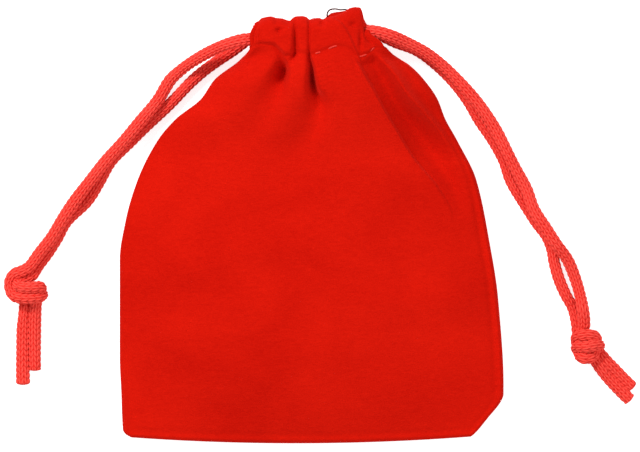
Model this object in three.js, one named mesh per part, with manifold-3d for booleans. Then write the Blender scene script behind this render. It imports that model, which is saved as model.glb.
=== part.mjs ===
// A kinchaku drawstring pouch of red velvet, lying on its back panel with its neck drawn shut.
// Millimetres. X runs across the pouch, Y from the bottom seam to the mouth, and Z up from the surface.
// Heights up the pouch are measured from the bottom seam, and the frame's origin is under its middle.
import * as THREE from 'three';
import { mergeVertices } from 'three/addons/utils/BufferGeometryUtils.js';
import Module from 'manifold-3d';

// Driving sizes
const POUCH_WIDTH = 98.2;
const POUCH_HEIGHT = 111.5;
const HEM_TALL = 10.7;
const CLOTH = 1.0;
const SEAM_GAP = 0.3;
const SEAM_LIFT = 3.2;
const BODY_CROWN = 12.6;
const CORD = 2.8;
const CORD_FIT = 0.3;
const CORD_TURN = 9.6;
const HEM_PLY = 0.9;
const GATHER_DEPTH = 2.0;
const BACK_GATHER_DEPTH = 1.6;

// The outline, the folds and the routes are laid out in hundredths of the width and of the height
const ACROSS = POUCH_WIDTH / 100;
const UP = POUCH_HEIGHT / 100;

// The hems: each panel's top edge is turned over and stitched down as a channel for two cords, one over the other
const STITCH_HEIGHT = POUCH_HEIGHT - HEM_TALL;
const CHANNEL_FOOT = 0.75;
const CHANNEL_DEEP = CORD + 2 * CORD_FIT;
const CHANNEL_TALL = 2 * CORD + 3 * CORD_FIT;
const LOWER_CORD_HEIGHT = STITCH_HEIGHT + CHANNEL_FOOT + CORD_FIT + CORD / 2;
const UPPER_CORD_HEIGHT = LOWER_CORD_HEIGHT + CORD + CORD_FIT;
const CHANNEL_HEIGHT = (LOWER_CORD_HEIGHT + UPPER_CORD_HEIGHT) / 2;
const BACK_CORD_Z = BACK_GATHER_DEPTH + HEM_PLY + CHANNEL_DEEP / 2;
const FRONT_CORD_Z = BACK_CORD_Z + CORD_TURN;
const HEM_PINCH = 0.9;
const HEM_PINCH_SHARE = 0.09;
const HEM_GROOVE = 0.8;
const HEM_BLEND = 3.3;
const HEM_ROUND = { start: 0.6, end: 1.03, power: 2.5 };
const HEM_ROWS_TALL = 0.75 * HEM_TALL;
const HEM_SIDE_POWER = 6;

// The drawn neck: its half-width, and where a cord turns from the front channel into the back one
const NECK_HALF = 15.8 * ACROSS;
const TURN_START = NECK_HALF - CORD_TURN / 2;
const TURN_DEGREES = 30;
const CHANNEL_END = NECK_HALF + 0.4 * CORD;
const SIDE_SLIT_START = TURN_START - 0.7 * CORD;
const SIDE_SLIT_END = NECK_HALF + 2.3 * CORD;
const SIDE_SLIT_FIT = 0.2;
const SIDE_SLIT_THROUGH = 1.4;
const NECK_START = 64.6 * UP;
const NECK_FULL = 86.1 * UP;
const NECK_SEAM_LIFT = (FRONT_CORD_Z + BACK_CORD_Z) / 2;
const NECK_CROWN = FRONT_CORD_Z + CHANNEL_DEEP / 2 + HEM_PLY + GATHER_DEPTH;

// Silhouette: the height up the pouch, then where the edge is across it
const LEFT_EDGE = upTheHeight([[0, -48.3], [1.8, -49.2], [10.8, -49.6], [19.7, -50], [42.2, -50], [51.1, -48.5],
  [60.5, -45.3], [69.5, -40.1], [74.4, -35.3], [78.9, -28.8], [83.4, -25.2], [87.9, -18.5], [90.6, -16],
  [98.7, -15.7]]);
const RIGHT_EDGE = upTheHeight([[0, 42], [3.6, 45], [9.9, 49.3], [12.6, 50], [33.2, 48.7], [46.6, 46.3],
  [60.5, 43], [69.5, 38], [74.4, 34.8], [78.9, 32.8], [83.4, 29.1], [87.9, 22.6], [90.4, 18.3], [92.4, 16.2],
  [98.7, 16]]);
const BOTTOM_BOW = { most: 1.8, middle: -4.1 * ACROSS, reach: 46.8 * ACROSS, power: 6 };
const HEM_PULL_POWER = 8;

// The front fills out from the bottom seam, and from its sides to a dome that is flat in the middle
const FILL_TALL = 30.5 * UP;
const FILL_POWER = 0.75;
const DOME_SIDE_POWER = 3;
const DOME_POWER = 0.85;
const FOLD_FADE = 3;

// Front folds: two hollows that run down from the neck, and a tuck on the right that falls off sharply.
// Each line gives where the fold is across the pouch at a height, and the others shares of its depth and
// half-width.
const HOLLOW_DEPTH = 5.4;
const HOLLOW_WIDTH = 9;
const LEFT_HOLLOW = {
  line: upTheHeight([[0, -24.4], [55.6, -21.9], [70, -17.8], [74.4, -16.3], [81.2, -11], [86.1, -7.9],
    [87.9, -6.7], [90.6, -5.1], [98.7, -4.4]]),
  depth: upTheHeight([[62.8, 0], [70, 0.13], [75.3, 0.33], [80.7, 0.63], [84.3, 0.89], [86.5, 0.93],
    [88.8, 0.85], [90.6, 0.37], [98.7, 0.37]], HOLLOW_DEPTH),
  width: upTheHeight([[62.8, 1], [75.3, 0.56], [80.7, 0.36], [85.2, 0.22], [87.9, 0.18], [90.6, 0.1],
    [98.7, 0.09]], HOLLOW_WIDTH),
};
const MIDDLE_HOLLOW = {
  line: upTheHeight([[0, -8.7], [55.6, -7.6], [68.2, -5.1], [74.4, -1.8], [79.4, 0.2], [84.3, -0.5],
    [90.6, -0.6], [98.7, -0.4]]),
  depth: upTheHeight([[59.2, 0], [68.2, 0.17], [73.5, 0.41], [77.1, 0.74], [80.7, 0.96], [86.1, 1],
    [88.8, 0.89], [90.6, 0.37], [98.7, 0.37]], HOLLOW_DEPTH),
  width: upTheHeight([[59.2, 1], [71.7, 0.5], [77.1, 0.24], [82.5, 0.16], [87.9, 0.12], [90.6, 0.09],
    [98.7, 0.09]], HOLLOW_WIDTH),
};
const TUCK_DEPTH = 5;
const TUCK_STEP = 0.9;
const TUCK_FLOOR = 0.25;
const TUCK = {
  line: upTheHeight([[0, 28.5], [35.9, 33.6], [52, 36.7], [58.3, 33], [65.1, 26.5], [72, 21.3], [77.1, 17.9],
    [82.8, 14.8], [87.9, 12.1], [92.4, 10.2], [98.7, 9.2]]),
  ridge: upTheHeight([[0, 36.7], [35.9, 43.3], [52, 42.3], [57.8, 41.8], [63.5, 39.5], [68.5, 36.2], [74.3, 31],
    [80, 25.2], [84.3, 21.9], [88.8, 17.5], [92.4, 14.1], [98.7, 13.4]]),
  depth: upTheHeight([[50.2, 0], [55.6, 0.2], [61, 0.52], [68.2, 0.84], [75.3, 1], [82.5, 1], [87.9, 0.8],
    [90.6, 0.36], [98.7, 0.36]], TUCK_DEPTH),
};

// The underside lies flat and rolls up to the seam along its sides and bottom
const ROLL_SIDE_START = 0.7;
const ROLL_TALL = 12.6 * UP;
const ROLL_POWER = 1.6;

// Back folds: three even gathers that fan out down the pouch
const BACK_GATHERS = [
  { neck: -8.1 * ACROSS, body: -28.5 * ACROSS },
  { neck: 0.5 * ACROSS, body: 2 * ACROSS },
  { neck: 8.1 * ACROSS, body: 27.5 * ACROSS },
];
const BACK_FAN_START = 44.8 * UP;
const BACK_GATHER_START = 62.8 * UP;
const BACK_NECK_DEPTH = 3.4;
const BACK_GATHER_WIDE = 7;
const BACK_GATHER_NARROW = 1.2;

// Soft bands where the cloth of the front stands a little proud, each from one point to another
const SOFT_BANDS = [
  { from: [-38.2, 39.5], to: [9.2, 48.4], lift: 0.5 },
  { from: [10.2, 32.3], to: [43.8, 33.2], lift: 0.4 },
];
const BAND_REACH = 5;
const BAND_FADE = { before: -0.3, rise: 0.2, fall: 0.8, after: 1.3 };

// Seam line of each hem from its nominal height, and its top edge from the pouch's, in shares of the hem
const STITCH_WAVE = acrossTheWidth([[-16.1, -0.02], [-10.8, 0.04], [-8.1, -0.06], [-5.1, -0.15], [-0.6, -0.09],
  [3.6, 0], [7.1, 0.04], [12.2, -0.11], [16.1, -0.07]], HEM_TALL);
const FRONT_DROP = acrossTheWidth([[-15.9, 0.34], [-12.2, 0.24], [-7.1, 0.22], [-4.4, 0.28], [-2, 0.23],
  [-0.4, 0.27], [4.1, 0.22], [8.1, 0.24], [11.2, 0.28], [16, 0.3]], HEM_TALL);
const BACK_DROP = acrossTheWidth([[-15.9, 0.29], [-5.1, 0.27], [3.6, 0.25], [7.6, 0.1], [11.8, 0], [14.3, 0.08],
  [16, 0.29]], HEM_TALL);

// Each side's cord: the routes of its free ends from the neck to the knot, given across, up the pouch, and in
// cord diameters from the surface. The knot's own points are in cord diameters from its middle: where the two
// strands run in, the rolls that the doubled cord makes, each with a half-thickness, and the two tails.
const LEFT = {
  side: -1,
  cordHeight: LOWER_CORD_HEIGHT,
  frontRun: [[-20.8, 91.8, 4.5], [-25.2, 90.4, 3.43], [-30.1, 88.1, 2.21], [-34, 85.7, 1.21], [-36.9, 83.4, 0.86],
    [-40, 78.8, 1.29], [-44.3, 74.3, 1.57], [-48.7, 69.7, 1.68], [-53.4, 65.1, 1.68], [-57.5, 60.4, 1.57],
    [-61.5, 55.9, 1.54], [-65, 51.3, 1.68], [-67.6, 47.2, 1.68], [-70.7, 43.6, 1.68]],
  backRun: [[-20.3, 90.4, 1.21], [-24.1, 88.1, 0.79], [-28.1, 85.6, 0.54], [-31.4, 83, 0.54], [-36.5, 78.4, 0.54],
    [-41.8, 74.1, 0.54], [-46.8, 69.7, 0.54], [-52.1, 64.9, 0.54], [-55.2, 60.3, 0.54], [-58.6, 55.6, 0.54],
    [-64.2, 50.8, 0.54], [-66.8, 47.2, 0.54], [-69.2, 43.9, 0.54]],
  knot: {
    across: -74.1,
    up: 36.3,
    frontEnd: [0.38, 1.62, 1.75],
    backEnd: [0.92, 1.47, 0.64],
    rolls: [
      { from: [-0.8, 0.62, 1.36], to: [-0.65, -0.38, 1.43], thick: 1.29 },
      { from: [-0.58, 0.97, 1.64], to: [0.77, 1.12, 1.5], thick: 0.68 },
      { from: [-0.73, 0.19, 2.07], to: [1.02, -0.1, 1.93], thick: 0.64 },
      { from: [-0.65, -0.92, 1.93], to: [1.1, -0.99, 1.79], thick: 0.64 },
      { from: [-0.37, -0.31, 0.79], to: [0.92, -0.53, 0.79], thick: 0.75 },
      { from: [0.42, 1.12, 0.86], to: [0.7, 0.19, 1.07], thick: 0.79 },
      { from: [-0.15, -1.03, 1.18], to: [0.99, -1.03, 1.18], thick: 0.75 },
    ],
    tails: {
      long: [[-0.15, -1.38, 1.14], [-0.19, -2.31, 0.86], [-0.26, -4.1, 0.57], [-0.37, -6.6, 0.52],
        [-0.4, -9.17, 0.52]],
      short: [[1.02, -1.38, 1.14], [1.06, -2.31, 0.86], [1.06, -4.1, 0.57], [0.99, -5.88, 0.52],
        [1.02, -7.88, 0.52]],
    },
  },
};
const RIGHT = {
  side: 1,
  cordHeight: UPPER_CORD_HEIGHT,
  frontRun: [[20.5, 93.5, 4.5], [24.4, 92, 3.71], [29.1, 90, 2.86], [33, 87.5, 2.14], [36, 85.2, 1.79],
    [40.6, 80.9, 1.68], [44.6, 76.6, 1.54], [48, 72, 1.43], [50.7, 67.4, 1.57], [53.4, 62.8, 1.5],
    [56.1, 58.2, 1.36], [58, 53.5, 1.64], [61.3, 49, 1.71], [63.7, 45.7, 1.71], [66.8, 42.1, 1.07],
    [68.9, 37.5, 0.71], [70.1, 34, 0.93], [70.7, 31, 1.68]],
  backRun: [[21.8, 92.2, 1.36], [27.1, 90.4, 0.86], [31.4, 87.9, 0.57], [36.7, 83.4, 0.54], [40.8, 78.8, 0.54],
    [43.8, 74.3, 0.54], [47.4, 69.7, 0.54], [50.1, 65.1, 0.54], [51.9, 60.4, 0.54], [55, 55.9, 0.54],
    [58.5, 51.1, 0.54], [61.5, 47.5, 0.54], [62.8, 44.4, 0.54], [63.3, 41.6, 0.54], [64.7, 37.5, 0.54],
    [66.4, 34, 0.54], [68.2, 31, 0.54]],
  knot: {
    across: 71.8,
    up: 22.4,
    frontEnd: [-0.22, 1.65, 1.75],
    backEnd: [-0.57, 1.65, 0.64],
    rolls: [
      { from: [-0.72, 1.22, 1.5], to: [0.32, 1.22, 1.43], thick: 0.71 },
      { from: [-0.79, 0.29, 1.79], to: [0.85, 0.08, 1.71], thick: 0.68 },
      { from: [-0.54, -0.85, 1.43], to: [-0.04, -1.03, 1.43], thick: 0.86 },
      { from: [-0.18, 0.01, 0.93], to: [0.6, 0.01, 0.93], thick: 0.86 },
      { from: [0.25, -0.85, 1.07], to: [0.96, -0.13, 1.14], thick: 0.75 },
    ],
    tails: {
      long: [[0.14, -1.13, 1.07], [0.68, -2.13, 0.79], [1.39, -3.21, 0.57], [2.32, -4.21, 0.52],
        [3.5, -5.13, 0.52]],
      short: [[1.18, -0.21, 1.07], [1.57, -1.06, 0.79], [2.25, -1.92, 0.57], [3.1, -2.78, 0.52],
        [4.14, -3.6, 0.52]],
    },
  },
};
const KNOT_FIT = 0.3;

// Mesh density
const BODY_ROWS = 27;
const HEM_ROWS = 7;
const FRONT_COLUMNS = [8, 7, 9, 7, 4];
const BACK_COLUMNS = [6, 6, 6, 6];
const EDGE_CROWDING = 0.72;
const CHANNEL_CURVE_STEPS = 6;
const CORD_SIDES = 8;
const CORD_STEPS = 76;
const TAIL_STEPS = 8;
const KNOT_SIDES = 12;
const KNOT_CAP_STEPS = 4;
const KNOT_SEAT_STEPS = 6;

const VELVET = { color: 0xdc1a0e, roughness: 0.85, metalness: 0 };
const KNIT = { color: 0xf8403a, roughness: 0.75, metalness: 0 };

const wasm = await Module();
wasm.setup();

// A smooth run through [place, value] pairs that never overshoots them, each number in its own unit
function through(knots, placeUnit, valueUnit) {
  const last = knots.length - 1;
  const rise = (i) => (knots[i + 1][1] - knots[i][1]) / (knots[i + 1][0] - knots[i][0]);
  const slope = (i) => {
    if (i === 0) return rise(0);
    if (i === last) return rise(last - 1);
    const both = rise(i - 1) * rise(i);
    return both > 0 ? (2 * both) / (rise(i - 1) + rise(i)) : 0;
  };
  return (where) => {
    const place = where / placeUnit;
    if (place <= knots[0][0]) return knots[0][1] * valueUnit;
    if (place >= knots[last][0]) return knots[last][1] * valueUnit;
    const i = knots.findIndex((knot) => knot[0] >= place) - 1;
    const span = knots[i + 1][0] - knots[i][0];
    const t = (place - knots[i][0]) / span;
    const bend = span * t * (1 - t) * ((1 - t) * slope(i) - t * slope(i + 1));
    return (THREE.MathUtils.lerp(knots[i][1], knots[i + 1][1], t * t * (3 - 2 * t)) + bend) * valueUnit;
  };
}

function upTheHeight(knots, unit = ACROSS) {
  return through(knots, UP, unit);
}

function acrossTheWidth(knots, unit) {
  return through(knots, ACROSS, unit);
}

function smooth(from, to, value) {
  return THREE.MathUtils.smoothstep(value, from, to);
}

function bell(distance, width) {
  return Math.exp(-((distance / width) ** 2));
}

// Evenly numbered stations from 0 to 1, crowded towards both ends
function crowded(count, crowding = EDGE_CROWDING) {
  return Array.from({ length: count + 1 }, (_, k) => {
    const t = k / count;
    return t - (crowding * Math.sin(2 * Math.PI * t)) / (2 * Math.PI);
  });
}

function inFrame([x, height, z]) {
  return new THREE.Vector3(x, height - POUCH_HEIGHT / 2, z);
}

function seamLift(height) {
  return THREE.MathUtils.lerp(SEAM_LIFT, NECK_SEAM_LIFT, smooth(NECK_START, NECK_FULL, height));
}

// How far across the pouch a point is: -1 at the left edge, 1 at the right
function acrossShare(x, height) {
  const left = LEFT_EDGE(height);
  const right = RIGHT_EDGE(height);
  return THREE.MathUtils.clamp((2 * (x - left)) / (right - left) - 1, -1, 1);
}

function hollowDepth(hollow, x, height) {
  return hollow.depth(height) * bell(x - hollow.line(height), hollow.width(height));
}

// The tuck falls off sharply right of its line and comes back up by its ridge
function tuckDepth(x, height) {
  const away = x - TUCK.line(height);
  const span = TUCK.ridge(height) - TUCK.line(height);
  return TUCK.depth(height) * smooth(0, TUCK_STEP, away) * (1 - smooth(TUCK_FLOOR * span, span, away));
}

function softBand(x, height) {
  let lift = 0;
  for (const { from, to, lift: most } of SOFT_BANDS) {
    const share = (x / ACROSS - from[0]) / (to[0] - from[0]);
    const t = THREE.MathUtils.clamp(share, BAND_FADE.before, BAND_FADE.after);
    const line = THREE.MathUtils.lerp(from[1], to[1], t) * UP;
    const ends = smooth(BAND_FADE.before, BAND_FADE.rise, t) * (1 - smooth(BAND_FADE.fall, BAND_FADE.after, t));
    lift += most * ends * bell(height - line, BAND_REACH);
  }
  return lift;
}

// Outside of the front panel below its stitch line
function frontBody(x, height) {
  const edge = seamLift(height) + SEAM_GAP / 2 + CLOTH;
  const filled = (1 - (1 - Math.min(height / FILL_TALL, 1)) ** 2) ** FILL_POWER;
  const crown = THREE.MathUtils.lerp(BODY_CROWN, NECK_CROWN, smooth(NECK_START, NECK_FULL, height));
  const dome = (1 - Math.abs(acrossShare(x, height)) ** DOME_SIDE_POWER) ** DOME_POWER;
  const folds = hollowDepth(LEFT_HOLLOW, x, height) + hollowDepth(MIDDLE_HOLLOW, x, height) + tuckDepth(x, height);
  const full = filled * dome;
  return edge + (crown - edge) * full + (softBand(x, height) - folds) * Math.min(1, FOLD_FADE * full);
}

// Outside of the front hem, where up runs from 0 at the stitch line to 1 at the top edge
function frontHem(x, height, up) {
  const flat = FRONT_CORD_Z + CHANNEL_DEEP / 2 + HEM_PLY;
  const ends = 1 - Math.abs(acrossShare(x, height)) ** HEM_SIDE_POWER;
  const gathers = bell(x - LEFT_HOLLOW.line(height), HEM_GROOVE) + bell(x - MIDDLE_HOLLOW.line(height), HEM_GROOVE)
    + smooth(0, TUCK_STEP, x - TUCK.line(height));
  const pinch = HEM_PINCH * bell(up, HEM_PINCH_SHARE);
  const full = flat + GATHER_DEPTH * ends * (1 - Math.min(1, gathers)) - pinch;
  return FRONT_CORD_Z + (full - FRONT_CORD_Z) * hemRound(up);
}

function hemRound(up) {
  const share = Math.max(0, (up - HEM_ROUND.start) / (HEM_ROUND.end - HEM_ROUND.start));
  return Math.sqrt(1 - share ** HEM_ROUND.power);
}

// Underside of the back panel below its stitch line
function backBody(x, height) {
  const edge = seamLift(height) - SEAM_GAP / 2 - CLOTH;
  const aside = (Math.abs(acrossShare(x, height)) - ROLL_SIDE_START) / (1 - ROLL_SIDE_START);
  const side = Math.max(0, aside) ** ROLL_POWER;
  const bottom = Math.max(0, 1 - height / ROLL_TALL) ** ROLL_POWER;
  return edge * Math.min(1, Math.hypot(side, bottom));
}

function backGather(x, height) {
  const drawn = smooth(BACK_GATHER_START, NECK_FULL, height);
  const toHem = smooth(STITCH_HEIGHT - HEM_BLEND, STITCH_HEIGHT, height);
  const depth = THREE.MathUtils.lerp(BACK_NECK_DEPTH, BACK_GATHER_DEPTH, toHem) * drawn;
  const width = THREE.MathUtils.lerp(BACK_GATHER_WIDE, BACK_GATHER_NARROW, drawn);
  return depth * BACK_GATHERS.reduce((sum, gather) => sum + bell(x - backLine(gather, height), width), 0);
}

function backLine(gather, height) {
  return THREE.MathUtils.lerp(gather.body, gather.neck, smooth(BACK_FAN_START, NECK_FULL, height));
}

function backHem(x, height, up) {
  const ends = Math.abs(acrossShare(x, height)) ** HEM_SIDE_POWER * BACK_GATHER_DEPTH;
  const pinch = HEM_PINCH * bell(up, HEM_PINCH_SHARE);
  const full = Math.min(BACK_GATHER_DEPTH, Math.max(backGather(x, height), ends)) + pinch;
  return BACK_CORD_Z - (BACK_CORD_Z - full) * hemRound(up);
}

// Rows of a panel from its bottom edge to its hem: a height, how far up the hem it is, and whether it is hem
function panelRows() {
  const body = crowded(BODY_ROWS).map((t) => ({ height: t * STITCH_HEIGHT, up: 0, hem: t === 1 }));
  const hem = Array.from({ length: HEM_ROWS }, (_, k) => {
    const up = Math.sin((Math.PI / 2) * ((k + 1) / HEM_ROWS));
    return { height: STITCH_HEIGHT + HEM_ROWS_TALL * up, up, hem: true };
  });
  return [...body, ...hem];
}

// Places across a row, spread between the fold lines so that no fold falls between two columns
function rowPlaces(lines, columns, height) {
  const places = [];
  columns.forEach((count, k) => {
    const stations = crowded(count);
    for (const t of k === 0 ? stations : stations.slice(1)) {
      places.push(THREE.MathUtils.lerp(lines[k](height), lines[k + 1](height), t));
    }
  });
  return places;
}

// Height up the pouch of a point of a row: the bottom edge bows, and the hem follows its stitch line
function placeUp(row, x, topDrop) {
  const stitch = STITCH_HEIGHT + STITCH_WAVE(x);
  if (row.hem) return THREE.MathUtils.lerp(stitch, POUCH_HEIGHT - topDrop(x), row.up);
  const share = row.height / STITCH_HEIGHT;
  const bow = BOTTOM_BOW.most * ((x - BOTTOM_BOW.middle) / BOTTOM_BOW.reach) ** 2 * (1 - share) ** BOTTOM_BOW.power;
  return row.height + bow + STITCH_WAVE(x) * share ** HEM_PULL_POWER;
}

// A closed solid between an upper and a lower skin that share their rows and columns
function betweenSkins(upper, lower) {
  const rows = upper.length;
  const columns = upper[0].length;
  const corners = [...upper.flat(), ...lower.flat()].flatMap((point) => inFrame(point).toArray());
  const index = [];
  const at = (skin, row, column) => skin * rows * columns + row * columns + column;
  const quad = (a, b, c, d) => index.push(a, b, c, a, c, d);
  for (let r = 0; r < rows - 1; r += 1) {
    for (let c = 0; c < columns - 1; c += 1) {
      quad(at(0, r, c), at(0, r, c + 1), at(0, r + 1, c + 1), at(0, r + 1, c));
      quad(at(1, r, c), at(1, r + 1, c), at(1, r + 1, c + 1), at(1, r, c + 1));
    }
    quad(at(0, r, 0), at(0, r + 1, 0), at(1, r + 1, 0), at(1, r, 0));
    quad(at(0, r, columns - 1), at(1, r, columns - 1), at(1, r + 1, columns - 1), at(0, r + 1, columns - 1));
  }
  for (let c = 0; c < columns - 1; c += 1) {
    quad(at(0, 0, c), at(1, 0, c), at(1, 0, c + 1), at(0, 0, c + 1));
    quad(at(0, rows - 1, c), at(0, rows - 1, c + 1), at(1, rows - 1, c + 1), at(1, rows - 1, c));
  }
  const geometry = new THREE.BufferGeometry();
  geometry.setAttribute('position', new THREE.Float32BufferAttribute(corners, 3));
  geometry.setIndex(index);
  return geometry;
}

// The other side of a cloth: a wall away from the lowest of each point and its neighbours in the row
function lining(row, pick, wall) {
  return row.map((point, c) => {
    const near = [row[Math.max(c - 1, 0)][2], point[2], row[Math.min(c + 1, row.length - 1)][2]];
    return [point[0], point[1], pick(...near) + wall];
  });
}

function blendRows(row, other, share) {
  return row.map((point, c) => [point[0], point[1], THREE.MathUtils.lerp(point[2], other[c][2], share)]);
}

function frontPanel() {
  const lines = [LEFT_EDGE, LEFT_HOLLOW.line, MIDDLE_HOLLOW.line, TUCK.line, TUCK.ridge, RIGHT_EDGE];
  const outside = [];
  const inside = [];
  for (const row of panelRows()) {
    const places = rowPlaces(lines, FRONT_COLUMNS, row.height);
    const toHem = smooth(STITCH_HEIGHT - HEM_BLEND, STITCH_HEIGHT, row.height);
    const cloth = places.map((x) => {
      const body = frontBody(x, Math.min(row.height, STITCH_HEIGHT));
      const z = THREE.MathUtils.lerp(body, frontHem(x, row.height, row.up), toHem);
      return [x, placeUp(row, x, FRONT_DROP), z];
    });
    const under = FRONT_CORD_Z - (CHANNEL_DEEP / 2 + HEM_PLY) * hemRound(row.up);
    outside.push(cloth);
    inside.push(blendRows(lining(cloth, Math.min, -CLOTH), cloth.map(() => [0, 0, under]), toHem));
  }
  return betweenSkins(outside, inside);
}

function backPanel() {
  const lines = [LEFT_EDGE, ...BACK_GATHERS.map((gather) => (height) => backLine(gather, height)), RIGHT_EDGE];
  const outside = [];
  const inside = [];
  for (const row of panelRows()) {
    const places = rowPlaces(lines, BACK_COLUMNS, row.height);
    const toHem = smooth(STITCH_HEIGHT - HEM_BLEND, STITCH_HEIGHT, row.height);
    const cloth = places.map((x) => {
      const body = Math.max(backBody(x, row.height), backGather(x, row.height));
      const z = THREE.MathUtils.lerp(body, backHem(x, row.height, row.up), toHem);
      return [x, placeUp(row, x, BACK_DROP), z];
    });
    const over = BACK_CORD_Z + (CHANNEL_DEEP / 2 + HEM_PLY) * hemRound(row.up);
    outside.push(cloth);
    inside.push(blendRows(lining(cloth, Math.max, CLOTH), cloth.map(() => [0, 0, over]), toHem));
  }
  return betweenSkins(inside, outside);
}

// A geometry as a solid that can be cut and joined, and back
function solidOf(geometry) {
  const bare = geometry.clone();
  bare.deleteAttribute('normal');
  bare.deleteAttribute('uv');
  const merged = mergeVertices(bare, 1e-4);
  return new wasm.Manifold(new wasm.Mesh({
    numProp: 3,
    vertProperties: new Float32Array(merged.attributes.position.array),
    triVerts: new Uint32Array(merged.index.array),
  }));
}

function geometryOf(solid) {
  const mesh = solid.getMesh();
  const geometry = new THREE.BufferGeometry();
  geometry.setAttribute('position', new THREE.Float32BufferAttribute(mesh.vertProperties, 3));
  geometry.setIndex(Array.from(mesh.triVerts));
  geometry.computeVertexNormals();
  return geometry;
}

// The cords' channel through a hem, from side to side
function channel(z) {
  const radius = CHANNEL_DEEP / 2;
  const reach = CHANNEL_TALL / 2 - radius;
  const outline = new THREE.Shape();
  outline.absarc(0, reach, radius, 0, Math.PI);
  outline.absarc(0, -reach, radius, Math.PI, 2 * Math.PI);
  const length = 2 * SIDE_SLIT_END;
  const curveSegments = CHANNEL_CURVE_STEPS;
  const geometry = new THREE.ExtrudeGeometry(outline, { depth: length, bevelEnabled: false, curveSegments });
  geometry.translate(0, 0, -length / 2);
  geometry.rotateY(Math.PI / 2);
  const middle = inFrame([0, CHANNEL_HEIGHT, z]);
  geometry.translate(0, middle.y, middle.z);
  return geometry;
}

// Opening in a hem's inner ply near a side, where a cord passes from one panel's channel to the other's
function sideSlit(side, height, z) {
  const length = SIDE_SLIT_END - SIDE_SLIT_START;
  const geometry = new THREE.BoxGeometry(length, CHANNEL_DEEP + SIDE_SLIT_FIT, 2 * HEM_PLY + SIDE_SLIT_THROUGH);
  const middle = inFrame([side * (SIDE_SLIT_START + length / 2), height, z]);
  geometry.translate(middle.x, middle.y, middle.z);
  return geometry;
}

function withChannel(panel, cordZ, innerPly) {
  let solid = solidOf(panel).subtract(solidOf(channel(cordZ)));
  solid = solid.subtract(solidOf(sideSlit(1, LOWER_CORD_HEIGHT, innerPly)));
  return geometryOf(solid.subtract(solidOf(sideSlit(-1, UPPER_CORD_HEIGHT, innerPly))));
}

// A round knit cord along a route
function cordTube(route, steps, radius = CORD / 2) {
  const section = new THREE.Shape();
  for (let k = 0; k < CORD_SIDES; k += 1) {
    const angle = (2 * Math.PI * (k + 0.5)) / CORD_SIDES;
    const point = [radius * Math.cos(angle), radius * Math.sin(angle)];
    if (k === 0) section.moveTo(...point);
    else section.lineTo(...point);
  }
  section.closePath();
  const curve = new THREE.CatmullRomCurve3(route.map(inFrame), false, 'centripetal');
  return new THREE.ExtrudeGeometry(section, { steps, extrudePath: curve, bevelEnabled: false });
}

// A cord's way through both channels: in by the front one, round at the far side, and out by the back one
function channelRun(side, height) {
  const radius = (FRONT_CORD_Z - BACK_CORD_Z) / 2;
  const middle = (FRONT_CORD_Z + BACK_CORD_Z) / 2;
  const turnStart = -side * TURN_START;
  const straight = [side * CHANNEL_END, -0.7 * turnStart, 0, 0.7 * turnStart];
  const run = straight.map((x) => [x, height, FRONT_CORD_Z]);
  for (let angle = 90; angle >= -90; angle -= TURN_DEGREES) {
    const turn = THREE.MathUtils.degToRad(angle);
    run.push([turnStart - side * radius * Math.cos(turn), height, middle + radius * Math.sin(turn)]);
  }
  return [...run, ...straight.reverse().map((x) => [x, height, BACK_CORD_Z])];
}

// A point of a route, and a point of a knot, in millimetres
function laid([x, height, z]) {
  return [x * ACROSS, height * UP, z * CORD];
}

function byKnot({ across, up }, [x, height, z]) {
  return [across * ACROSS + x * CORD, up * UP + height * CORD, z * CORD];
}

function cordRoute({ side, cordHeight, frontRun, backRun, knot }) {
  const front = [...frontRun.map(laid), byKnot(knot, knot.frontEnd)];
  const back = [...backRun.map(laid), byKnot(knot, knot.backEnd)];
  return [...front.reverse(), ...channelRun(side, cordHeight), ...back];
}

// The last stretch of a cord with a little room round it and past its end
function endRoom(route) {
  const [before, end] = route.slice(-2).map(inFrame);
  const past = end.clone().add(end.clone().sub(before).setLength(KNOT_FIT));
  const points = [before, end, past].map((point) => [point.x, point.y + POUCH_HEIGHT / 2, point.z]);
  return solidOf(cordTube(points, KNOT_SEAT_STEPS, CORD / 2 + KNOT_FIT));
}

// A knot: rolls of the doubled cord, joined, with a seat for each cord end that runs into it
function knotBody(knot, ends) {
  let solid = null;
  for (const { from, to, thick } of knot.rolls) {
    const start = inFrame(byKnot(knot, from));
    const end = inFrame(byKnot(knot, to));
    const along = end.clone().sub(start);
    const roll = new THREE.CapsuleGeometry(thick * CORD, along.length(), KNOT_CAP_STEPS, KNOT_SIDES);
    roll.applyQuaternion(new THREE.Quaternion().setFromUnitVectors(new THREE.Vector3(0, 1, 0), along.normalize()));
    const middle = start.clone().add(end).multiplyScalar(0.5);
    roll.translate(middle.x, middle.y, middle.z);
    solid = solid ? solid.add(solidOf(roll)) : solidOf(roll);
  }
  for (const end of ends) solid = solid.subtract(endRoom(end));
  return geometryOf(solid);
}

const pouch = new THREE.Group();

function addPiece(name, geometry, look) {
  const mesh = new THREE.Mesh(geometry, new THREE.MeshStandardMaterial(look));
  mesh.name = name;
  pouch.add(mesh);
}

addPiece('front_panel', withChannel(frontPanel(), FRONT_CORD_Z, FRONT_CORD_Z - CHANNEL_DEEP / 2 - HEM_PLY), VELVET);
addPiece('back_panel', withChannel(backPanel(), BACK_CORD_Z, BACK_CORD_Z + CHANNEL_DEEP / 2 + HEM_PLY), VELVET);

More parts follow.
